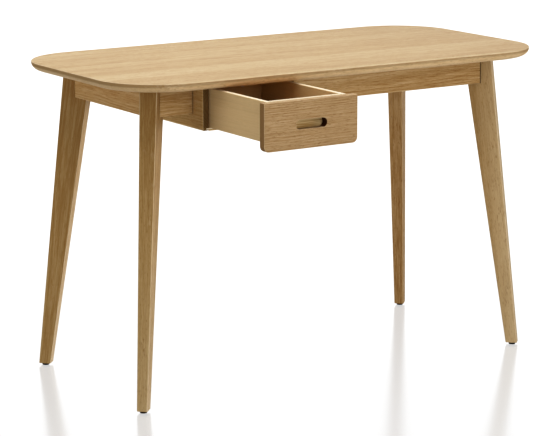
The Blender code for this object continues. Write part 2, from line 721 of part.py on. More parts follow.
def make_drawer_box(shop):
    inner_left = BOX_LEFT + BOX_SIDE
    inner_right = BOX_RIGHT - BOX_SIDE
    groove_low = BOTTOM_LOW - GAP
    groove_high = BOTTOM_LOW + BOTTOM_THICK + GAP
    for name, inner, outer in (("drawer_side_left", inner_left, BOX_LEFT),
                               ("drawer_side_right", inner_right, BOX_RIGHT)):
        ends = sorted((inner, outer))
        side = shop.add(name, box_mesh((ends[0], BOX_FRONT, BOX_LOW), (ends[1], BOX_BACK, BOX_TOP)), "birch",
                        in_drawer=True)
        soften(side)
        into = BOTTOM_GROOVE if inner > outer else -BOTTOM_GROOVE
        cuts = sorted((inner + into, inner - into))
        cut(shop, side, "groove", box_mesh((cuts[0], BOX_FRONT - OVERCUT, groove_low),
                                           (cuts[1], BOX_BACK + OVERCUT, groove_high)), in_drawer=True)
    sub_inner = BOX_FRONT + BOX_SIDE
    sub_front = shop.add("drawer_sub_front", box_mesh((inner_left + GAP, BOX_FRONT, BOX_LOW),
                                                      (inner_right - GAP, sub_inner, BOX_TOP)),
                         "birch", in_drawer=True)
    soften(sub_front, segments=1)
    groove = box_mesh((inner_left - OVERCUT, sub_inner - BOTTOM_GROOVE, groove_low),
                      (inner_right + OVERCUT, sub_inner + OVERCUT, groove_high))
    cut(shop, sub_front, "groove", groove, in_drawer=True)
    holes = []
    for number, (x, y, z) in enumerate(front_screw_points(), start=1):
        holes.append(((x, y + OVERCUT, z), (x, BOX_FRONT - OVERCUT, z), SCREW_RADIUS + GAP))
        make_screw(shop, "front_screw_" + str(number), (x, y, z), (0.0, -1.0, 0.0), FRONT_SCREW_LENGTH,
                   in_drawer=True)
    cut(shop, sub_front, "holes", drill_mesh(holes, 12), in_drawer=True)
    back = shop.add("drawer_back", box_mesh((inner_left + GAP, BOX_BACK - BOX_SIDE, groove_high),
                                            (inner_right - GAP, BOX_BACK, BOX_TOP)), "birch", in_drawer=True)
    soften(back, segments=1)
    tongue = BOTTOM_GROOVE - GAP
    bottom = box_mesh((inner_left - tongue, sub_inner - tongue, BOTTOM_LOW),
                      (inner_right + tongue, BOX_BACK, BOTTOM_LOW + BOTTOM_THICK))
    shop.add("drawer_bottom", bottom, "birch", in_drawer=True)


# ---------------------------------------------------------------- assembly

def shade(shop):
    """Round pieces are shaded smooth between their sharp edges."""
    for obj in shop.parts.objects:
        obj.data.shade_smooth()
        obj.data.set_sharp_from_angle(angle=math.radians(35))


def main():
    clear_scene()
    shop = Shop()
    make_desktop(shop)
    for corner, signs in CORNERS.items():
        make_leg(shop, corner, signs)
        make_glide(shop, corner, signs)
    make_aprons(shop)
    make_fixings(shop)
    make_case(shop)
    make_cleats(shop)
    make_drawer_stop(shop)
    make_drawer_front(shop)
    make_drawer_box(shop)
    shade(shop)


main()
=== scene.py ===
import math

import bmesh
import bpy
from mathutils import Matrix, Vector


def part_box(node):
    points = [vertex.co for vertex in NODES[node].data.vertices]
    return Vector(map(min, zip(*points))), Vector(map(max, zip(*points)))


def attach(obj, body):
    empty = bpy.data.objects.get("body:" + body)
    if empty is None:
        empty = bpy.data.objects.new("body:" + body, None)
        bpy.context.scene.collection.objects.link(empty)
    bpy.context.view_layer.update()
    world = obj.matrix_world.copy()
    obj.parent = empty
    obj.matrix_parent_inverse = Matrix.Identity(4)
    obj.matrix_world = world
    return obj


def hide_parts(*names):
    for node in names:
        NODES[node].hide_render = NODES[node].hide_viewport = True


# The looks of an oak writing desk with one open drawer, built round its CAD frame.
# Metres, +Z up, the desk's front faces -Y. Every wooden piece is modelled in a frame of its own
# whose X runs with the grain and whose Z runs through the board, so one wood material fits all.

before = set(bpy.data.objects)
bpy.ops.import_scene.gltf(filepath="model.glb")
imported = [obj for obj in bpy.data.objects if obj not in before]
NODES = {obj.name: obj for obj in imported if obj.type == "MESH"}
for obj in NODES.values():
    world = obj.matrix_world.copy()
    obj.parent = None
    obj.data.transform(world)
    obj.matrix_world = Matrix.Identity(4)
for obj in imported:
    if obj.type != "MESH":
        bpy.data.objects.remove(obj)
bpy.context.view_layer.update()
CORNERS = {
    "front_left": (-1, -1),
    "front_right": (1, -1),
    "back_left": (-1, 1),
    "back_right": (1, 1),
}
DIAGONAL = math.sqrt(0.5)
X = Vector((1.0, 0.0, 0.0))
Y = Vector((0.0, 1.0, 0.0))
Z = Vector((0.0, 0.0, 1.0))

# Camera
CAMERA_AT = (-2.9639, -4.3839, 1.5052)
CAMERA_YAW = 33.339
CAMERA_PITCH = -12.169
CAMERA_LENS = 142.77

SENSOR = 36.0

# Studio
TONE_CURVE = [(0.05, 0.030), (0.15, 0.112), (0.35, 0.315), (0.65, 0.660)]
FLOOR_REACH = 30.0
FLOOR_TONE = 0.06
FLOOR_GLOW = 0.60
FLOOR_ROUGHNESS = 0.17
BACKDROP_EDGE = (0.72, 0.93)        # cosines to the middle of the backdrop, outside and inside
BACKDROP_STRENGTH = (0.10, 1.60)    # away from the backdrop and in it
# name, place, what it points at, width and height, watts
SOFTBOXES = [
    ("softbox_top", (-0.4, -0.4, 3.1), (-0.4, -0.2, 0.7), (3.0, 2.4), 70.0),
    ("softbox_back", (-0.3, 1.5, 3.0), (0.0, 0.0, 0.7), (3.0, 2.0), 42.0),
    ("softbox_front", (-0.2, -4.0, 2.4), (0.0, 0.0, 0.5), (2.0, 2.6), 54.0),
    ("softbox_low", (-0.4, -4.2, 0.5), (0.0, 0.0, 0.5), (3.0, 0.8), 35.0),
    ("softbox_left", (-4.0, 1.5, 1.2), (0.0, 0.0, 0.5), (2.0, 1.6), 30.0),
    ("softbox_right", (3.6, -2.6, 0.7), (0.0, 0.0, 0.5), (2.0, 1.2), 48.0),
]

# Desktop edge
TOP_CORNER = 0.157
TOP_ARRIS = 0.0018
TOP_LAND = 0.0030           # the upright part of the edge
TOP_UNDERCUT = 0.022        # how far the rounded underside turns in
TOP_STAVE = 0.095           # width of a glued stave

# Edges of the other pieces
LEG_ROUND = 0.0025
LEG_FOOT_ROUND = 0.0010
BOARD_ROUND = 0.0010
PLY_ROUND = 0.0008
WALL_ROUND = 0.0016
THIN_ROUND = 0.0003         # thin plywood and steel
STRIP_ROUND = 0.0006
JOINT_FIT = 0.0003          # a tight joint of an apron and a leg
JOINT_GAP = 0.0026          # an open one, seen as a dark line
# a dark sheet in the open joint, a painted shadow of the gap: how far back it sits and its rounding
SHADOW_SHEET_SET_BACK = 0.0008
SHADOW_SHEET_ROUND = 0.0002
CASE_NOSE = 0.0055
CASE_GROOVE = 0.0075
FIT = 0.0003                # clearance between pieces that touch
OVERSHOOT = 0.010           # how far a cutter reaches past what it cuts
LEVEL = 0.0002              # how near to a leg's end a corner counts as on it
SAME = 1e-6
SHARP = math.radians(40)
FRONT_CORNER = 0.0130
FRONT_TOP_CORNER = 0.0020
SLOT_LONG = 0.0820
SLOT_HIGH = 0.0210
BRACKET_THICK = 0.0020
BRACKET_HEEL = 0.0030
PLY_LAYER = 0.0015
THIN_PLY_LAYER = 0.00094
PLY_VEINS = 0.10
SUB_FRONT_VEINS = 0.85


# ---------------------------------------------------------------- node trees

class Graph:
    """A material and short ways to add nodes to its tree."""

    def __init__(self, name):
        self.material = bpy.data.materials.new(name)
        self.material.use_nodes = True
        self.tree = self.material.node_tree
        self.shader = self.tree.nodes["Principled BSDF"]

    @classmethod
    def around(cls, material):
        """The same for a material that is already made."""
        graph = cls.__new__(cls)
        graph.material = material
        graph.tree = material.node_tree
        graph.shader = graph.tree.nodes["Principled BSDF"]
        return graph

    def feed(self, socket, value):
        if isinstance(value, bpy.types.NodeSocket):
            self.tree.links.new(value, socket)
        else:
            socket.default_value = value

    def add(self, kind, output=0, inputs=None, **settings):
        made = self.tree.nodes.new("ShaderNode" + kind)
        for name, value in settings.items():
            setattr(made, name, value)
        for name, value in (inputs or {}).items():
            self.feed(made.inputs[name], value)
        return made.outputs[output]

    def set(self, **values):
        """Shader inputs, an underscore standing for a space."""
        for name, value in values.items():
            self.feed(self.shader.inputs[name.replace("_", " ")], value)

    def math(self, operation, first, second=0.0, clamp=False):
        return self.add("Math", inputs={0: first, 1: second}, operation=operation, use_clamp=clamp)

    def scaled(self, vector, factors):
        return self.add("VectorMath", inputs={0: vector, 1: factors}, operation="MULTIPLY")

    def shifted(self, vector, offset):
        return self.add("VectorMath", inputs={0: vector, 1: offset}, operation="ADD")

    def split(self, vector):
        """The vector's outputs "X", "Y" and "Z"."""
        made = self.tree.nodes.new("ShaderNodeSeparateXYZ")
        self.feed(made.inputs[0], vector)
        return made.outputs

    def noise(self, vector, factors, detail=2.0, roughness=0.5, distortion=0.0):
        """Noise about 0.5 whose grains are 1 / factors metres long on each axis."""
        inputs = {"Vector": self.scaled(vector, factors), "Scale": 1.0, "Detail": detail,
                  "Roughness": roughness, "Distortion": distortion}
        return self.add("TexNoise", inputs=inputs)

    def signed(self, value, gain):
        """(value - 0.5) * gain"""
        return self.math("MULTIPLY", self.math("SUBTRACT", value, 0.5), gain)

    def step(self, value, start, end, low=0.0, high=1.0):
        """A smooth step from low to high as the value goes from start to end."""
        inputs = {0: value, 1: start, 2: end, 3: low, 4: high}
        return self.add("MapRange", inputs=inputs, interpolation_type="SMOOTHSTEP")

    def mix(self, factor, first, second, blend_type="MIX"):
        return self.add("Mix", 2, inputs={0: factor, 6: first, 7: second}, data_type="RGBA",
                        blend_type=blend_type)

    def ramp(self, factor, stops):
        made = self.tree.nodes.new("ShaderNodeValToRGB")
        self.feed(made.inputs[0], factor)
        elements = made.color_ramp.elements
        while len(elements) < len(stops):
            elements.new(0.5)
        for element, (place, colour) in zip(elements, stops):
            element.position = place
            element.color = (*colour, 1.0)
        return made.outputs[0]

    def bump(self, height, distance, strength):
        self.set(Normal=self.add("Bump", inputs={"Height": height, "Distance": distance,
                                                 "Strength": strength}))


def tinted(colour, gain):
    return tuple(min(1.0, channel * gain) for channel in colour)


def deeper(colour, power):
    """A darker and richer tone of a colour, or a paler one where power is under 1."""
    return tuple(channel ** power for channel in colour)


# ---------------------------------------------------------------- materials

def oak(name, colour, seed, stave=0.0, streaks=1.0, fade=(0.0, 0.0), cross=0.0, flat=None, ends=1.3,
        fine=1.0):
    """Oiled oak as a solid texture: rings about a pith, fibres, pores and rays, darker end grain.

    The grain runs along the piece's X. Staves are glued side by side across Y. The tone rises by
    the first number of fade for each metre of X past the second, and, where there is a fade, by
    cross for each metre of Y; these gradients are painted shading. flat multiplies the faces square
    to Z, painting light on them above 1 and shade below 1, and the edges between those and the
    others get a patchy painted highlight. ends deepens the end grain, and a large ends adds painted
    shade to it. A larger fine gives closer streaks."""
    graph = Graph(name)
    offset = (0.731 * seed, 0.0, 0.0)
    home = graph.add("TexCoord", "Object")
    place = graph.shifted(home, offset)
    spot = graph.split(place)
    across = spot["Y"]
    depth = spot["Z"]
    tone_of_stave = 0.5
    seam = 0.0
    if stave:
        share = graph.math("FRACT", graph.math("DIVIDE", across, stave))
        seam = graph.math("ABSOLUTE", graph.math("SUBTRACT", share, 0.5))
        number = graph.math("FLOOR", graph.math("DIVIDE", across, stave))
        key = graph.math("ADD", number, 7.0 * seed)
        tone_of_stave = graph.add("TexWhiteNoise", "Value", inputs={"W": key}, noise_dimensions="1D")
        random = graph.add("TexWhiteNoise", "Color", inputs={"W": graph.math("ADD", key, 0.5)},
                           noise_dimensions="1D")
        place = graph.shifted(place, graph.scaled(random, (5.0, 0.6, 0.4)))
        middle = graph.math("MULTIPLY", graph.math("ADD", number, 0.5), stave)
        across = graph.math("SUBTRACT", across, middle)
        across = graph.math("ADD", across, graph.signed(tone_of_stave, 1.4 * stave))
    sway = graph.signed(graph.noise(place, (1.5, 5.0, 5.0), 2.0), 0.050)
    wobble = graph.signed(graph.noise(place, (9.0, 30.0, 30.0), 2.0), 0.0040)
    across = graph.math("ADD", graph.math("ADD", across, sway), wobble)
    depth = graph.math("ADD", graph.math("ADD", depth, 0.055), wobble)
    radius = graph.math("SQRT", graph.math("ADD", graph.math("MULTIPLY", across, across),
                                           graph.math("MULTIPLY", depth, depth)))
    ring = graph.math("FRACT", graph.math("MULTIPLY", radius, 290.0))
    late = graph.math("MULTIPLY", graph.step(ring, 0.10, 0.75), graph.step(ring, 1.0, 0.90))
    broad = graph.noise(place, (1.1, 24.0, 24.0), 3.0, 0.55)
    close = 400.0 * fine
    streak = graph.noise(place, (9.0 * fine, close, close), 4.0, 0.70)
    fibre = graph.noise(place, (26.0, 900.0, 900.0), 3.0, 0.60)
    tone = graph.math("ADD", 0.5, graph.signed(late, 0.22 * streaks))
    tone = graph.math("ADD", tone, graph.signed(broad, 0.70 * streaks))
    tone = graph.math("ADD", tone, graph.signed(streak, 2.10 * streaks))
    tone = graph.math("ADD", tone, graph.signed(fibre, 0.60))
    tone = graph.math("ADD", tone, graph.signed(tone_of_stave, 0.24))
    facing = graph.split(graph.add("TexCoord", "Normal"))
    if fade[0]:
        whole = graph.split(home)
        past = graph.math("SUBTRACT", whole["X"], fade[1])
        tone = graph.math("ADD", tone, graph.math("MULTIPLY", past, fade[0]))
        tone = graph.math("ADD", tone, graph.math("MULTIPLY", whole["Y"], cross))
    stops = [
        (0.02, deeper(colour, 1.50)),
        (0.32, deeper(colour, 1.16)),
        (0.58, colour),
        (0.98, deeper(colour, 0.80)),
    ]
    wood = graph.ramp(tone, stops)
    if stave:
        patchy = graph.noise(place, (2.0, 3.0, 3.0), 2.0)
        line = graph.math("MULTIPLY", graph.step(seam, 0.470, 0.495), graph.step(patchy, 0.40, 0.62))
        wood = graph.mix(graph.math("MULTIPLY", line, 0.60), wood, (*deeper(colour, 1.45), 1.0))
        # Painted shade: the desktop's upright edge band is made darker.
        edge_band_shade = graph.step(graph.math("ABSOLUTE", facing["Z"]), 0.32, 0.12)
        wood = graph.mix(graph.math("MULTIPLY", edge_band_shade, 0.40), wood, (*deeper(colour, 1.60), 1.0))
        # Painted light: the rounded underside of the desktop's edge, which faces down, is made paler.
        underside_light = graph.step(facing["Z"], -0.15, -0.50)
        wood = graph.mix(graph.math("MULTIPLY", underside_light, 0.55), wood, (*tinted(colour, 1.55), 1.0))
        vein = graph.step(graph.noise(place, (1.8, 150.0, 150.0), 2.0, 0.6), 0.60, 0.72)
        wood = graph.mix(graph.math("MULTIPLY", vein, 0.45), wood, (*deeper(colour, 1.50), 1.0))
    dashes = graph.step(graph.noise(place, (26.0 * fine, close * 1.2, close * 1.2), 2.0, 0.6), 0.54, 0.68)
    wood = graph.mix(graph.math("MULTIPLY", dashes, 0.40 * streaks), wood, (*deeper(colour, 1.60), 1.0))
    flecks = graph.step(graph.noise(place, (85.0, close * 1.3, close * 1.3), 1.0), 0.62, 0.72)
    wood = graph.mix(graph.math("MULTIPLY", flecks, 0.60), wood, (*deeper(colour, 1.75), 1.0))
    cells = graph.noise(place, (75.0, 1700.0, 1700.0), 1.0)
    pores = graph.math("MULTIPLY", graph.step(cells, 0.57, 0.70), graph.step(late, 0.9, 0.2, 0.15, 1.0))
    wood = graph.mix(graph.math("MULTIPLY", pores, 0.50), wood, (*deeper(colour, 1.95), 1.0))
    rays = graph.step(graph.noise(place, (38.0, 420.0, 60.0), 1.0), 0.66, 0.76)
    wood = graph.mix(graph.math("MULTIPLY", rays, 0.20), wood, (*deeper(colour, 0.70), 1.0))
    # Painted highlight: rounded edges are made paler in patches; on the desktop, only its upper edge.
    tilt = facing["Z"] if stave else graph.math("ABSOLUTE", facing["Z"])
    edge_highlight = graph.math("MULTIPLY", graph.step(tilt, 0.20, 0.45), graph.step(tilt, 0.96, 0.85))
    highlight_patches = graph.step(graph.noise(place, (35.0, 35.0, 35.0), 2.0), 0.30, 0.60, 0.40, 0.80)
    wood = graph.mix(graph.math("MULTIPLY", edge_highlight, highlight_patches), wood, (*deeper(colour, 0.62), 1.0))
    # Painted light and shade: faces square to Z are multiplied lighter or darker, as one side of a leg is
    # lit more than the other.
    if flat:
        square = graph.step(graph.math("ABSOLUTE", facing["Z"]), 0.60, 0.80)
        wood = graph.mix(square, wood, (*flat, 1.0), "MULTIPLY")
    # Darker end grain. The mask reaches far round faces turned partway, such as the desktop's rounded
    # corners, where it is painted shade as well as end grain.
    level = graph.math("SQRT", graph.math("SUBTRACT", 1.0, graph.math("POWER", facing["Z"], 2.0),
                                          clamp=True))
    heading = graph.math("DIVIDE", graph.math("ABSOLUTE", facing["X"]),
                         graph.math("MAXIMUM", level, 0.01))
    end_grain_and_corner_shade = graph.math("MULTIPLY", graph.step(heading, 0.30, 0.85), graph.step(level, 0.86, 0.99))
    ringed = graph.step(late, 0.0, 1.0, 0.72, 1.00)
    end_grain_and_shade_tone = tinted(deeper(colour, 0.95 + 0.25 * ends), 1.45 - 0.30 * ends)
    wood = graph.mix(graph.math("MULTIPLY", end_grain_and_corner_shade, ringed), wood, (*end_grain_and_shade_tone, 1.0))
    rough = graph.math("ADD", 0.50, graph.signed(streak, 0.20))
    rough = graph.math("ADD", rough, graph.math("MULTIPLY", pores, 0.20))
    rough = graph.math("ADD", rough, graph.math("MULTIPLY", end_grain_and_corner_shade, 0.25), clamp=True)
    graph.set(Base_Color=wood, Roughness=rough, Specular_IOR_Level=0.08)
    height = graph.math("SUBTRACT", graph.math("MULTIPLY", fibre, 0.5), pores)
    graph.bump(height, 0.00035, 0.55)
    return graph.material


def birch_ply(name, colour, seed, layer=PLY_LAYER, turn=(0.0, 0.0, 0.0), veins=PLY_VEINS):
    """Birch plywood: a calm rotary-cut face, and layers that show on the edges.

    veins is the strength of the darker lines along the face's grain."""
    graph = Graph(name)
    place = graph.add("TexCoord", "Object")
    place = graph.add("Mapping", inputs={"Vector": place, "Rotation": turn,
                                         "Location": (0.37 * seed, 0.21 * seed, 0.0)})
    spot = graph.split(place)
    normal = graph.add("Mapping", inputs={"Vector": graph.add("TexCoord", "Normal"), "Rotation": turn})
    facing = graph.split(normal)
    edge = graph.step(graph.math("ABSOLUTE", facing["Z"]), 0.75, 0.45)
    broad = graph.noise(place, (2.2, 16.0, 16.0), 3.0, 0.55, 0.6)
    streak = graph.noise(place, (9.0, 210.0, 210.0), 3.0, 0.60)
    fibre = graph.noise(place, (60.0, 1100.0, 1100.0), 2.0)
    tone = graph.math("ADD", 0.5, graph.signed(broad, 0.45))
    tone = graph.math("ADD", tone, graph.signed(streak, 0.35))
    tone = graph.math("ADD", tone, graph.signed(fibre, 0.55))
    face = graph.ramp(tone, [(0.05, tinted(colour, 0.78)), (0.50, colour), (0.95, tinted(colour, 1.14))])
    vein = graph.step(graph.noise(place, (8.0, 260.0, 260.0), 2.0, 0.6), 0.47, 0.60)
    face = graph.mix(graph.math("MULTIPLY", vein, veins), face, (*deeper(colour, 1.75), 1.0))
    flecks = graph.step(graph.noise(place, (150.0, 1300.0, 1300.0), 1.0), 0.66, 0.74)
    face = graph.mix(graph.math("MULTIPLY", flecks, 0.20), face, (*tinted(colour, 0.60), 1.0))
    height_in_layers = graph.math("DIVIDE", spot["Z"], layer)
    part = graph.math("FRACT", height_in_layers)
    odd = graph.math("PINGPONG", graph.math("FLOOR", height_in_layers), 1.0)
    grainy = graph.signed(graph.noise(place, (500.0, 500.0, 120.0), 2.0), 0.6)
    band = graph.math("ADD", graph.step(odd, 0.4, 0.6, 0.60, 1.00), grainy)
    layers = graph.ramp(band, [(0.0, deeper(colour, 1.10)), (1.0, deeper(colour, 0.45))])
    glue = graph.math("ADD", graph.step(part, 0.10, 0.0), graph.step(part, 0.90, 1.0))
    layers = graph.mix(graph.math("MULTIPLY", glue, 0.35), layers, (*deeper(colour, 1.60), 1.0))
    graph.set(Base_Color=graph.mix(edge, face, layers), Specular_IOR_Level=0.08)
    graph.set(Roughness=graph.math("ADD", 0.46, graph.signed(streak, 0.18)))
    graph.bump(graph.math("SUBTRACT", fibre, flecks), 0.0002, 0.40)
    return graph.material


def beech(name, colour, seed, turn=(0.0, 0.0, 0.0)):
    """Sanded beech: even, with short dark flecks along the grain."""
    graph = Graph(name)
    place = graph.add("TexCoord", "Object")
    place = graph.add("Mapping", inputs={"Vector": place, "Rotation": turn,
                                         "Location": (0.53 * seed, 0.0, 0.17 * seed)})
    streak = graph.noise(place, (8.0, 230.0, 230.0), 3.0, 0.55)
    broad = graph.noise(place, (3.0, 40.0, 40.0), 2.0)
    tone = graph.math("ADD", graph.math("ADD", 0.5, graph.signed(streak, 0.8)), graph.signed(broad, 0.6))
    wood = graph.ramp(tone, [(0.05, tinted(colour, 0.74)), (0.5, colour), (0.95, tinted(colour, 1.16))])
    flecks = graph.step(graph.noise(place, (190.0, 1500.0, 900.0), 1.0), 0.62, 0.70)
    wood = graph.mix(graph.math("MULTIPLY", flecks, 0.50), wood, (*tinted(colour, 0.50), 1.0))
    graph.set(Base_Color=wood, Specular_IOR_Level=0.30)
    graph.set(Roughness=graph.math("ADD", 0.58, graph.signed(streak, 0.20)))
    graph.bump(graph.math("SUBTRACT", streak, flecks), 0.0002, 0.40)
    return graph.material


def plated_steel(name, colour, seed):
    """Zinc plating: a faint spangle, fine scratches and duller patches."""
    graph = Graph(name)
    place = graph.shifted(graph.add("TexCoord", "Object"), (0.11 * seed, 0.05 * seed, 0.0))
    spangle = graph.noise(place, (420.0, 420.0, 420.0), 2.0, 0.6, 1.5)
    scratch = graph.noise(place, (90.0, 2600.0, 2600.0), 2.0)
    patch = graph.noise(place, (60.0, 60.0, 60.0), 3.0)
    tone = graph.math("ADD", graph.math("ADD", 0.5, graph.signed(spangle, 0.7)), graph.signed(patch, 0.5))
    metal = graph.ramp(tone, [(0.1, tinted(colour, 0.80)), (0.9, tinted(colour, 1.16))])
    graph.set(Base_Color=metal, Metallic=1.0)
    graph.set(Roughness=graph.math("ADD", 0.33, graph.signed(patch, 0.30)))
    graph.bump(scratch, 0.00005, 0.35)
    return graph.material


def moulded_plastic(name, colour):
    """Dark moulded plastic with a fine sparked grain, scuffed paler in places."""
    graph = Graph(name)
    place = graph.add("TexCoord", "Object")
    grain = graph.noise(place, (2200.0, 2200.0, 2200.0), 1.0)
    scuff = graph.step(graph.noise(place, (130.0, 130.0, 500.0), 3.0), 0.50, 0.72)
    graph.set(Base_Color=graph.mix(graph.math("MULTIPLY", scuff, 0.5), (*colour, 1.0),
                                   (*tinted(colour, 2.6), 1.0)))
    graph.set(Roughness=graph.math("ADD", 0.55, graph.math("MULTIPLY", scuff, 0.25)),
              Specular_IOR_Level=0.04)
    graph.bump(grain, 0.00006, 0.5)
    return graph.material


OAK_TOP = (0.455, 0.332, 0.188)
OAK_APRON = (0.460, 0.310, 0.148)
OAK_CASE = (0.580, 0.400, 0.180)
OAK_FRONT = (0.395, 0.268, 0.140)
BIRCH = (0.610, 0.450, 0.245)
# the drawer floor's birch, deeper and redder than BIRCH: painted shade inside the drawer
BIRCH_SHADED_INSIDE = (0.600, 0.360, 0.145)
BIRCH_BACK = (0.540, 0.360, 0.160)
BIRCH_FRONT = (0.505, 0.375, 0.195)
BEECH = (0.500, 0.340, 0.195)
ZINC = (0.62, 0.62, 0.63)
SCREW = (0.55, 0.53, 0.50)
GLIDE = (0.006, 0.005, 0.004)


# ---------------------------------------------------------------- shape helpers

def axes_matrix(origin, along, through):
    """A piece's frame: X along the grain, Z through the board."""
    along = along.normalized()
    side = through.cross(along).normalized()
    turn = Matrix((along, side, along.cross(side))).transposed().to_4x4()
    return Matrix.Translation(origin) @ turn


def middle_of(node):
    low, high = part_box(node)
    return (low + high) / 2


def add_piece(name, mesh, place, body, material, nodes):
    """Place a mesh, given in world coordinates, in its own frame and tie it to the CAD model."""
    mesh.transform(place.inverted())
    mesh.name = name
    mesh.materials.clear()
    mesh.materials.append(material)
    mesh.shade_smooth()
    mesh.set_sharp_from_angle(angle=SHARP)
    obj = bpy.data.objects.new(name, mesh)
    obj.matrix_world = place
    bpy.context.scene.collection.objects.link(obj)
    weighted = obj.modifiers.new("even_normals", "WEIGHTED_NORMAL")
    weighted.keep_sharp = True
    weighted.weight = 90
    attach(obj, body)
    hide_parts(*nodes)
    return obj


def mesh_from(bm):
    bmesh.ops.recalc_face_normals(bm, faces=bm.faces)
    mesh = bpy.data.meshes.new("shape")
    bm.to_mesh(mesh)
    bm.free()
    return mesh


def bevelled(bm, width, segments, edges=None):
    bmesh.ops.recalc_face_normals(bm, faces=bm.faces)
    bm.normal_update()
    bmesh.ops.bevel(bm, geom=edges or bm.edges[:], offset=width, segments=segments, profile=0.5,
                    affect="EDGES", offset_type="OFFSET", clamp_overlap=True)


def block(low, high):
    bm = bmesh.new()
    bmesh.ops.create_cube(bm, size=1.0)
    bmesh.ops.scale(bm, vec=high - low, verts=bm.verts)
    bmesh.ops.translate(bm, vec=(low + high) / 2, verts=bm.verts)
    return bm


def board_mesh(low, high, width, segments=3, planes=()):
    """A board with eased edges, trimmed by (point, normal of the side removed) planes."""
    bm = block(Vector(low), Vector(high))
    for point, normal in planes:
        bmesh.ops.bisect_plane(bm, geom=bm.verts[:] + bm.edges[:] + bm.faces[:], plane_co=point,
                               plane_no=normal, dist=1e-7, clear_outer=True)
        bmesh.ops.holes_fill(bm, edges=[edge for edge in bm.edges if edge.is_boundary])
    bevelled(bm, width, segments)
    return mesh_from(bm)


def arc(centre, radius, start, end, steps):
    points = []
    for step in range(steps + 1):
        angle = math.radians(start + (end - start) * step / steps)
        points.append((centre[0] + radius * math.cos(angle), centre[1] + radius * math.sin(angle)))
    return points


def rounded_rectangle(low, high, radii, steps):
    """Outline from the lower right corner round; radii are low right, high right, high left, low left."""
    low_right, high_right, high_left, low_left = radii
    points = arc((high[0] - low_right, low[1] + low_right), low_right, -90, 0, steps)
    points += arc((high[0] - high_right, high[1] - high_right), high_right, 0, 90, steps)
    points += arc((low[0] + high_left, high[1] - high_left), high_left, 90, 180, steps)
    points += arc((low[0] + low_left, low[1] + low_left), low_left, 180, 270, steps)
    return points


def plate_mesh(outlines, thickness, width):
    """A flat outline with its holes as a slab about Z = 0, all its edges rounded."""
    curve = bpy.data.curves.new("outline", "CURVE")
    curve.dimensions = "2D"
    curve.fill_mode = "BOTH"
    curve.extrude = thickness / 2 - width
    curve.bevel_depth = width
    curve.bevel_resolution = 2
    curve.offset = -width
    for outline in outlines:
        spline = curve.splines.new("POLY")
        spline.points.add(len(outline) - 1)
        for point, (x, y) in zip(spline.points, outline):
            point.co = (x, y, 0.0, 1.0)
        spline.use_cyclic_u = True
    guide = bpy.data.objects.new("outline", curve)
    bpy.context.scene.collection.objects.link(guide)
    flat = bpy.data.meshes.new_from_object(guide.evaluated_get(bpy.context.evaluated_depsgraph_get()))
    bpy.data.objects.remove(guide, do_unlink=True)
    bm = bmesh.new()
    bm.from_mesh(flat)
    bmesh.ops.remove_doubles(bm, verts=bm.verts, dist=1e-5)
    return mesh_from(bm)


def ring_mesh(rings):
    """A closed body through a stack of rings, each a list of points, with flat ends."""
    bm = bmesh.new()
    loops = [[bm.verts.new(point) for point in ring] for ring in rings]
    count = len(loops[0])
    for lower, upper in zip(loops, loops[1:]):
        for index in range(count):
            after = (index + 1) % count
            bm.faces.new((lower[index], lower[after], upper[after], upper[index]))
    bm.faces.new(loops[0])
    bm.faces.new(loops[-1])
    return mesh_from(bm)


def turned_mesh(profile, steps=32):
    """A closed body turned about Z from (radius, height) points that start and end on the axis."""
    rings = []
    for radius, height in profile[1:-1]:
        turns = [math.tau * step / steps for step in range(steps)]
        rings.append([(radius * math.cos(turn), radius * math.sin(turn), height) for turn in turns])
    bm = bmesh.new()
    loops = [[bm.verts.new(point) for point in ring] for ring in rings]
    for lower, upper in zip(loops, loops[1:]):
        for index in range(steps):
            after = (index + 1) % steps
            bm.faces.new((lower[index], lower[after], upper[after], upper[index]))
    for loop, (radius, height) in ((loops[0], profile[0]), (loops[-1], profile[-1])):
        tip = bm.verts.new((0.0, 0.0, height))
        for index in range(steps):
            bm.faces.new((loop[index], loop[(index + 1) % steps], tip))
    return mesh_from(bm)


def carved(mesh, cutters, operation="DIFFERENCE"):
    """The mesh after a Boolean with each cutter mesh."""
    guide = bpy.data.objects.new("carved", mesh)
    bpy.context.scene.collection.objects.link(guide)
    tools = []
    for cutter in cutters:
        tool = bpy.data.objects.new("tool", cutter)
        bpy.context.scene.collection.objects.link(tool)
        boolean = guide.modifiers.new("carve", "BOOLEAN")
        boolean.operation = operation
        boolean.solver = "EXACT"
        boolean.object = tool
        tools.append(tool)
    bpy.context.view_layer.update()
    ready = bpy.data.meshes.new_from_object(guide.evaluated_get(bpy.context.evaluated_depsgraph_get()))
    for obj in [guide, *tools]:
        bpy.data.objects.remove(obj, do_unlink=True)
    return ready


# ---------------------------------------------------------------- desktop

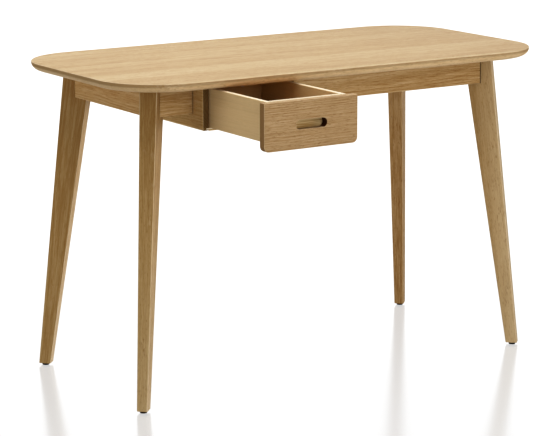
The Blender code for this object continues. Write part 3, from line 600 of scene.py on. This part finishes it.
def make_desktop():
    low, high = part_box("desktop")
    thick = high.z - low.z
    rim = []
    corners = [(high.x, low.y, -90), (high.x, high.y, 0), (low.x, high.y, 90), (low.x, low.y, 180)]
    centre = (low + high) / 2
    for x, y, start in corners:
        hub = (x - math.copysign(TOP_CORNER, x - centre.x), y - math.copysign(TOP_CORNER, y - centre.y))
        for step in range(33):
            angle = math.radians(start + 90 * step / 32)
            rim.append((hub, Vector((math.cos(angle), math.sin(angle), 0.0))))
    profile = []
    for step in range(5):
        angle = math.radians(90 * step / 4)
        profile.append((TOP_ARRIS * (1 - math.sin(angle)), high.z - TOP_ARRIS * (1 - math.cos(angle))))
    for step in range(17):
        angle = math.radians(90 * step / 16)
        profile.append((TOP_UNDERCUT * (1 - math.cos(angle)),
                        high.z - TOP_LAND - (thick - TOP_LAND) * math.sin(angle)))
    rings = []
    for inset, height in profile:
        rings.append([Vector((*hub, height)) + way * (TOP_CORNER - inset) for hub, way in rim])
    mesh = ring_mesh(rings)
    place = axes_matrix(Vector((centre.x, centre.y, low.z)), X, Z)
    add_piece("oak_desktop", mesh, place, "desk",
              oak("oak_top", OAK_TOP, 3, TOP_STAVE, 0.90, ends=1.45, fine=1.3), ["desktop"])


# ---------------------------------------------------------------- legs and glides

def leg_section(corner, at_head):
    """Middle and (across, along) size of a leg's level end, read from its CAD solid."""
    signs = CORNERS[corner]
    along = Vector((signs[0], signs[1], 0.0)) * DIAGONAL
    across = Vector((-signs[0], signs[1], 0.0)) * DIAGONAL
    points = [vert.co for vert in NODES["leg_" + corner].data.vertices]
    level = max(p.z for p in points) if at_head else min(p.z for p in points)
    end = [p for p in points if abs(p.z - level) < LEVEL]
    spans = []
    for axis in (across, along):
        reach = [p.dot(axis) for p in end]
        spans.append(((min(reach) + max(reach)) / 2, max(reach) - min(reach)))
    middle = across * spans[0][0] + along * spans[1][0] + Z * level
    return middle, spans[0][1], spans[1][1], across, along


def leg_ring(corner, share, inset=0.0, steps=6):
    """A rounded section of a leg at a share of its height."""
    foot = leg_section(corner, False)
    head = leg_section(corner, True)
    middle = foot[0].lerp(head[0], share)
    half_across = (foot[1] + (head[1] - foot[1]) * share) / 2 - inset
    half_along = (foot[2] + (head[2] - foot[2]) * share) / 2 - inset
    outline = rounded_rectangle((-half_across, -half_along), (half_across, half_along),
                                [LEG_ROUND - inset * 0.5] * 4, steps)
    return [middle + foot[3] * x + foot[4] * y for x, y in outline]


def leg_face(corner, across, along):
    """A point on a long face of a leg and its outward normal; one of across and along is 0."""
    ends = []
    for at_head in (False, True):
        middle, wide, deep, side, out = leg_section(corner, at_head)
        ends.append(middle + side * (across * wide / 2) + out * (along * deep / 2))
    level_edge = out if across else side
    outward = side * across + out * along
    normal = level_edge.cross(ends[1] - ends[0]).normalized()
    if normal.dot(outward) < 0.0:
        normal = -normal
    return ends[1], normal


def make_legs():
    # each leg: colour, streaks, painted shading along it and across it, painted light (front legs) and shade
    # (back left) on its faces square to Z
    leg_tones_and_painted_shade = {
        "front_left": ((0.435, 0.302, 0.143), 0.6, (-1.00, 0.28), 0.0, (1.12, 1.15, 1.30)),
        "front_right": ((0.447, 0.326, 0.179), 0.25, (-0.55, 0.26), -9.0, (1.10, 1.10, 1.10)),
        "back_left": ((0.690, 0.540, 0.345), 1.8, (-0.95, 0.12), 0.0, (0.61, 0.51, 0.34)),
        "back_right": ((0.430, 0.272, 0.120), 1.2, (0.65, 0.35), 0.0, None),
    }
    for seed, corner in enumerate(CORNERS, start=11):
        colour, streaks, fade, cross, flat = leg_tones_and_painted_shade[corner]
        foot = leg_section(corner, False)[0]
        head, _, _, across, _ = leg_section(corner, True)
        height = (head - foot).z
        rings = []
        for step in range(4):
            angle = math.radians(90 * step / 3)
            inset = LEG_FOOT_ROUND * (1 - math.sin(angle))
            rings.append(leg_ring(corner, LEG_FOOT_ROUND * (1 - math.cos(angle)) / height, inset))
        rings.append(leg_ring(corner, 1.0))
        place = axes_matrix(foot, head - foot, across)
        add_piece("oak_leg_" + corner, ring_mesh(rings), place, "desk",
                  oak("oak_leg_" + corner, colour, seed, 0.0, streaks, fade, cross, flat),
                  ["leg_" + corner])


def make_glides():
    material = moulded_plastic("glide_plastic", GLIDE)
    for corner in CORNERS:
        low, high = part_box("glide_" + corner)
        radius = (high.x - low.x) / 2
        collar = leg_section(corner, False)[0].z - FIT
        stem = radius * 0.3
        edge = 0.0012
        profile = [(0.0, 0.0), (radius - edge, 0.0)]
        profile += [(radius - edge + edge * math.sin(a), edge - edge * math.cos(a))
                    for a in (math.radians(30 * step) for step in range(1, 4))]
        profile += [(radius, collar * 0.55), (radius - 0.0004, collar * 0.62), (radius, collar * 0.69),
                    (radius, collar - 0.0004), (radius - 0.0004, collar), (stem, collar), (stem, high.z),
                    (0.0, high.z)]
        mesh = turned_mesh(profile, 40)
        place = Matrix.Translation(((low.x + high.x) / 2, (low.y + high.y) / 2, 0.0))
        mesh.transform(place)
        add_piece("foot_glide_" + corner, mesh, place, "desk", material,
                  ["glide_" + corner])


# ---------------------------------------------------------------- aprons

def joint_planes(corners, across, gap):
    """Planes that trim an apron where it meets these legs; across names the legs' side."""
    planes = []
    for corner in corners:
        point, normal = leg_face(corner, across, 0)
        planes.append((point + normal * gap, -normal))
    return planes


def make_aprons():
    # piece, grain, way through, legs met, gap there, tone, painted shade along it (darker toward the right)
    rows = [
        ("apron_back", X, Y, ["back_left", "back_right"], JOINT_FIT, 1.0, 0.0),
        ("apron_left", Y, X, ["front_left", "back_left"], JOINT_FIT, 1.26, 0.0),
        ("apron_right", Y, X, ["front_right", "back_right"], JOINT_FIT, 1.0, 0.0),
        ("apron_front_left", X, Y, ["front_left"], JOINT_FIT, 1.03, -0.8),
        ("apron_front_right", X, Y, ["front_right"], JOINT_GAP, 0.95, -0.6),
    ]
    for seed, (node, along, through, corners, gap, shade, slope) in enumerate(rows, start=21):
        low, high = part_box(node)
        if node == "apron_front_left":
            high.x -= JOINT_GAP * 0.5
        mesh = board_mesh(low, high, BOARD_ROUND, planes=joint_planes(corners, 1 if along is X else -1, gap))
        place = axes_matrix(middle_of(node), along, through)
        add_piece("oak_" + node, mesh, place, "desk",
                  oak("oak_" + node, tinted(OAK_APRON, shade), seed, streaks=1.25, fade=(slope, 0.0),
                      fine=1.5), [node])
    # A dark sheet in the open joint of the front-right apron and its leg: a painted shadow of the gap.
    low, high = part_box("apron_front_right")
    point, normal = leg_face("front_right", 1, 0)
    sides = [(point + normal * JOINT_FIT, -normal), (point + normal * (JOINT_GAP - JOINT_FIT), normal)]
    mesh = board_mesh(low + Y * SHADOW_SHEET_SET_BACK, high, SHADOW_SHEET_ROUND, planes=sides)
    add_piece("gap_shadow_sheet", mesh, axes_matrix(point, X, Y), "desk",
              oak("oak_gap_shadow_sheet", tinted(OAK_APRON, 0.14), 27), ["apron_front_right"])


# ---------------------------------------------------------------- drawer case

def case_panel_mesh(low, high):
    """An upright board whose lower long edges and front foot are well rounded."""
    bm = block(low, high)
    under = []
    for edge in bm.edges:
        ends = [vert.co for vert in edge.verts]
        if all(p.z < low.z + SAME for p in ends) and any(p.y < high.y - SAME for p in ends):
            under.append(edge)
    bevelled(bm, CASE_NOSE, 5, under)
    sharp = [edge for edge in bm.edges if edge.calc_face_angle(0.0) > SHARP]
    bevelled(bm, BOARD_ROUND, 3, sharp)
    return mesh_from(bm)


def make_case():
    ply_low, ply_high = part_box("case_bottom")
    for seed, side in ((31, "left"), (32, "right")):
        node = "case_side_" + side
        low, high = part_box(node)
        slab = case_panel_mesh(low, high)
        inner = high.x if side == "left" else low.x
        into = -CASE_GROOVE if side == "left" else CASE_GROOVE
        ends = sorted((inner - into, inner + into))
        groove = mesh_from(block(Vector((ends[0], low.y - OVERSHOOT, ply_low.z - FIT)),
                                 Vector((ends[1], high.y + OVERSHOOT, ply_high.z + FIT))))
        place = axes_matrix(middle_of(node), Y, X)
        # ends=3.95 makes the front edges far darker than end grain: painted shade from the open drawer, on
        # top of the end grain.
        add_piece("case_panel_" + side, carved(slab, [groove]), place, "desk",
                  oak("oak_" + node, OAK_CASE, seed, ends=3.95, fine=1.3), [node])
    add_piece("case_floor", board_mesh(ply_low, ply_high, THIN_ROUND, 2),
              axes_matrix(ply_low, Y, Z), "desk", birch_ply("case_floor_ply", BIRCH, 5, THIN_PLY_LAYER),
              ["case_bottom"])
    low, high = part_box("case_front_strip")
    add_piece("case_edge_strip", board_mesh(low, high, STRIP_ROUND),
              axes_matrix(middle_of("case_front_strip"), X, Z), "desk", oak("oak_strip", OAK_CASE, 33),
              ["case_front_strip"])
    low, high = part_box("case_back")
    add_piece("case_back_panel", board_mesh(low, high, PLY_ROUND),
              axes_matrix(low, X, Y), "desk",
              birch_ply("case_back_ply", BIRCH, 6), ["case_back"])


# ---------------------------------------------------------------- drawer

def make_drawer_front():
    low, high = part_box("drawer_front")
    centre = (low + high) / 2
    face = rounded_rectangle((low.x, low.z), (high.x, high.z),
                             [FRONT_CORNER, FRONT_TOP_CORNER, FRONT_TOP_CORNER, FRONT_CORNER], 10)
    radius = SLOT_HIGH / 2
    slot_z = middle_of("front_screw_1").z
    slot = arc((centre.x + SLOT_LONG / 2 - radius, slot_z), radius, -90, 90, 18)
    slot += arc((centre.x - SLOT_LONG / 2 + radius, slot_z), radius, 90, 270, 18)
    slab = plate_mesh([face, slot], high.y - low.y, BOARD_ROUND)
    slab.transform(Matrix.Translation((0.0, centre.y, 0.0)) @ Matrix.Rotation(math.radians(90), 4, "X"))
    place = axes_matrix(centre, X, Y)
    wood = oak("oak_drawer_front", OAK_FRONT, 41, streaks=0.9, ends=1.7, fine=1.4)
    # painted shade on the slot's far end wall
    paint_slot_shade(wood, centre.z - slot_z)
    add_piece("drawer_face", slab, place, "drawer", wood, ["drawer_front"])


def paint_slot_shade(wood, slot_y):
    """Painted shade: the end wall of the slot that faces left, deep in the recess, is made dark."""
    graph = Graph.around(wood)
    colour = graph.shader.inputs["Base Color"].links[0].from_socket
    spot = graph.split(graph.add("TexCoord", "Object"))
    facing = graph.split(graph.add("TexCoord", "Normal"))
    beside = graph.step(graph.math("ABSOLUTE", spot["X"]), SLOT_LONG * 0.7, SLOT_LONG * 0.6)
    above = graph.math("ABSOLUTE", graph.math("SUBTRACT", spot["Y"], slot_y))
    wall = graph.step(facing["X"], -0.1, -0.5)
    near = graph.math("MULTIPLY", beside, graph.step(above, SLOT_HIGH, SLOT_HIGH * 0.7))
    near = graph.math("MULTIPLY", near, wall)
    graph.set(Base_Color=graph.mix(near, colour, (*deeper(OAK_FRONT, 3.0), 1.0)))


def make_drawer_box():
    rows = [
        ("drawer_side_left", "drawer_wall_left", Y, X),
        ("drawer_side_right", "drawer_wall_right", Y, X),
        ("drawer_sub_front", "drawer_wall_front", X, Y),
        ("drawer_back", "drawer_wall_back", X, Y),
        ("drawer_bottom", "drawer_floor", X, Z),
    ]
    colours = {"drawer_sub_front": BIRCH_FRONT, "drawer_bottom": BIRCH_SHADED_INSIDE, "drawer_back": BIRCH_BACK}
    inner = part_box("drawer_side_left")[1].x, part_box("drawer_side_right")[0].x
    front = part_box("drawer_sub_front")[1].y
    for seed, (node, name, along, through) in enumerate(rows, start=51):
        low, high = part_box(node)
        if node == "drawer_bottom":
            low = Vector((inner[0] + FIT, front + FIT, low.z))
            high = Vector((inner[1] - FIT, high.y, high.z))
        origin = low.copy()
        veins = SUB_FRONT_VEINS if node == "drawer_sub_front" else PLY_VEINS
        add_piece(name, board_mesh(low, high, WALL_ROUND), axes_matrix(origin, along, through), "drawer",
                  birch_ply("ply_" + node, colours.get(node, BIRCH), seed, veins=veins),
                  [node])


# ---------------------------------------------------------------- fixings

def axis_span(node, way):
    """Start, end and greatest radius of a turned CAD piece along a direction."""
    way = way.normalized()
    side = way.orthogonal().normalized()
    other = way.cross(side)
    points = [vert.co for vert in NODES[node].data.vertices]
    start = min(p.dot(way) for p in points)
    end = max(p.dot(way) for p in points)
    base = Vector((0.0, 0.0, 0.0))
    radius = 0.0
    for axis in (side, other):
        reach = [p.dot(axis) for p in points]
        base += axis * (min(reach) + max(reach)) / 2
        radius = max(radius, (max(reach) - min(reach)) / 2)
    return base + way * start, base + way * end, radius


def screw_mesh(length, head_radius):
    """A round-head screw with a cross recess; its head is at Z = 0 and it points along +Z."""
    head_high = head_radius * 0.67
    shank = head_radius * 0.48
    profile = [(0.0, 0.0)]
    profile += [(head_radius * math.sin(a), head_high * (1 - math.cos(a)))
                for a in (math.radians(15 * step) for step in range(1, 7))]
    profile += [(shank, head_high), (shank, length - 3 * shank), (shank * 0.2, length), (0.0, length)]
    body = turned_mesh(profile, 32)
    wide = head_radius * 0.26
    reach = head_radius * 0.62
    cutters = []
    for x, y in ((reach, wide), (wide, reach)):
        bm = block(Vector((-x, -y, -0.001)), Vector((x, y, head_high * 0.72)))
        for vert in bm.verts:
            if vert.co.z > 0.0:
                vert.co.x *= 0.55
                vert.co.y *= 0.55
        cutters.append(mesh_from(bm))
    return carved(body, cutters)


def hex_bolt_mesh(length, washer_radius):
    """A flanged hex bolt with chamfered corners; its head is at Z = 0 and it points along +Z."""
    flat = washer_radius * 0.82
    head_high = 0.0065
    flange = 0.0014
    shank = 0.0040
    bm = bmesh.new()
    bmesh.ops.create_cone(bm, cap_ends=True, segments=6, radius1=flat / math.cos(math.pi / 6),
                          radius2=flat / math.cos(math.pi / 6), depth=head_high)
    bmesh.ops.translate(bm, vec=(0.0, 0.0, head_high / 2), verts=bm.verts)
    hexagon = mesh_from(bm)
    dome = turned_mesh([(0.0, 0.0), (flat * 0.94, 0.0), (flat * 1.20, 0.0016),
                        (flat * 1.20, head_high + OVERSHOOT), (0.0, head_high + OVERSHOOT)], 48)
    head = carved(hexagon, [dome], "INTERSECT")
    body = turned_mesh([(0.0, head_high - flange), (washer_radius - 0.0006, head_high - flange),
                        (washer_radius, head_high - flange * 0.5), (washer_radius, head_high),
                        (shank, head_high), (shank, length - 0.0015), (shank - 0.0015, length),
                        (0.0, length)], 40)
    return carved(head, [body], "UNION")


def bracket_mesh(arm, thick, wide):
    """A bent steel angle: two arms from a rounded heel at the origin, along X and Y."""
    outline = [(arm, 0.0), (arm, thick)]
    outline += arc((thick + 0.001, thick + 0.001), 0.001, 270, 180, 4)
    outline += [(thick, arm), (0.0, arm)]
    outline += arc((BRACKET_HEEL, BRACKET_HEEL), BRACKET_HEEL, 180, 270, 6)
    return plate_mesh([outline], wide, THIN_ROUND)


def add_fixing(node, way, make_mesh, body, material):
    """A screw or bolt in place of its CAD solid; it points along way."""
    start, end, radius = axis_span(node, way)
    mesh = make_mesh((end - start).length, radius)
    place = Matrix.Translation(start) @ Z.rotation_difference(way).to_matrix().to_4x4()
    mesh.transform(place)
    add_piece("fixing_" + node, mesh, place, body, material, [node])


def make_fixings():
    zinc = plated_steel("zinc_steel", ZINC, 1)
    steel = plated_steel("screw_steel", SCREW, 2)
    ways = {"top_bracket_back_screw_apron": Y, "top_bracket_front_screw_apron": -Y,
            "front_screw_1": -Y, "front_screw_2": -Y}
    for node in sorted(NODES):
        if "screw" not in node:
            continue
        body = "drawer" if node.startswith("front_screw") else "desk"
        add_fixing(node, ways.get(node, Z), screw_mesh, body, steel)
    for corner, signs in CORNERS.items():
        way = Vector((signs[0], signs[1], 0.0)).normalized()
        for number in ("1", "2"):
            node = "leg_bolt_" + corner + "_" + number
            add_fixing(node, way, hex_bolt_mesh, "desk", zinc)
    for node, side in (("top_bracket_back", 1), ("top_bracket_front", -1)):
        low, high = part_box(node)
        arm = high.z - low.z
        mesh = bracket_mesh(arm, BRACKET_THICK, high.x - low.x)
        face = high.y if side > 0 else low.y
        middle = (low.x + high.x) / 2
        to_desk = Matrix(((0, 0, 1, middle), (-side, 0, 0, face), (0, -1, 0, high.z), (0, 0, 0, 1)))
        mesh.transform(to_desk)
        if to_desk.determinant() < 0.0:
            mesh.flip_normals()
        add_piece("angle_" + node, mesh, Matrix.Translation(middle_of(node)), "desk", zinc,
                  [node])


def dress_cad_nodes():
    """Corner blocks, cleats and the stop keep their CAD shape and get beech."""
    for seed, (corner, signs) in enumerate(CORNERS.items(), start=61):
        turn = math.radians(45 if signs[0] * signs[1] > 0 else -45)
        give_material("corner_block_" + corner, beech("beech_block_" + corner, BEECH, seed, (0, 0, turn)))
    quarter = (0.0, 0.0, math.radians(90))
    give_material("case_cleat_left", beech("beech_cleat_left", BEECH, 71, quarter))
    give_material("case_cleat_right", beech("beech_cleat_right", BEECH, 72, quarter))
    give_material("drawer_stop", beech("beech_stop", BEECH, 73))


def give_material(node, material):
    obj = NODES[node]
    if not obj.material_slots:
        obj.data.materials.append(material)
    for slot in obj.material_slots:
        slot.material = material


# ---------------------------------------------------------------- stage

def make_floor():
    bm = bmesh.new()
    bmesh.ops.create_grid(bm, x_segments=8, y_segments=8, size=FLOOR_REACH)
    mesh = mesh_from(bm)
    graph = Graph("studio_floor")
    haze = graph.noise(graph.add("TexCoord", "Object"), (0.6, 0.6, 0.6), 1.0)
    graph.set(Base_Color=(FLOOR_TONE, FLOOR_TONE, FLOOR_TONE, 1.0), Specular_IOR_Level=1.0)
    graph.set(Emission_Color=(1.0, 1.0, 1.0, 1.0), Emission_Strength=FLOOR_GLOW)
    graph.set(Roughness=graph.math("ADD", FLOOR_ROUGHNESS, graph.signed(haze, 0.02)))
    mesh.materials.append(graph.material)
    floor = bpy.data.objects.new("studio_floor", mesh)
    bpy.context.scene.collection.objects.link(floor)


def make_light(name, at, target, size, power):
    light = bpy.data.lights.new(name, "AREA")
    light.shape = "RECTANGLE"
    light.size = size[0]
    light.size_y = size[1]
    light.energy = power
    obj = bpy.data.objects.new(name, light)
    obj.location = at
    obj.rotation_euler = (Vector(target) - Vector(at)).to_track_quat("-Z", "Y").to_euler()
    obj.visible_camera = False
    obj.visible_glossy = False
    bpy.context.scene.collection.objects.link(obj)


def make_world():
    """A white backdrop behind the desk and a dim studio round it."""
    world = bpy.data.worlds.new("studio")
    bpy.context.scene.world = world
    world.use_nodes = True
    tree = world.node_tree
    place = tree.nodes.new("ShaderNodeTexCoord")
    facing = tree.nodes.new("ShaderNodeVectorMath")
    facing.operation = "DOT_PRODUCT"
    yaw = math.radians(CAMERA_YAW)
    facing.inputs[1].default_value = (math.sin(yaw), math.cos(yaw), 0.0)
    tree.links.new(place.outputs["Generated"], facing.inputs[0])
    share = tree.nodes.new("ShaderNodeMapRange")
    share.inputs["From Min"].default_value = BACKDROP_EDGE[0]
    share.inputs["From Max"].default_value = BACKDROP_EDGE[1]
    share.inputs["To Min"].default_value = BACKDROP_STRENGTH[0]
    share.inputs["To Max"].default_value = BACKDROP_STRENGTH[1]
    tree.links.new(facing.outputs["Value"], share.inputs["Value"])
    tree.links.new(share.outputs["Result"], tree.nodes["Background"].inputs["Strength"])
    tree.nodes["Background"].inputs["Color"].default_value = (1.0, 1.0, 1.0, 1.0)


def make_camera():
    camera = bpy.data.cameras.new("camera")
    camera.sensor_width = SENSOR
    camera.lens = CAMERA_LENS
    obj = bpy.data.objects.new("camera", camera)
    obj.location = CAMERA_AT
    obj.rotation_euler = (math.radians(90.0 + CAMERA_PITCH), 0.0, math.radians(-CAMERA_YAW))
    bpy.context.scene.collection.objects.link(obj)
    bpy.context.scene.camera = obj


def set_tone_curve():
    """A camera's gentle contrast: shadows a little deeper and richer, whites as they are."""
    settings = bpy.context.scene.view_settings
    settings.view_transform = "Standard"
    settings.use_curve_mapping = True
    curve = settings.curve_mapping.curves[3]
    for point in TONE_CURVE:
        curve.points.new(*point)
    settings.curve_mapping.update()


def make_stage():
    make_floor()
    make_world()
    for row in SOFTBOXES:
        make_light(*row)
    make_camera()
    set_tone_curve()


make_stage()
make_desktop()
make_legs()
make_glides()
make_aprons()
make_case()
make_drawer_front()
make_drawer_box()
make_fixings()
dress_cad_nodes()
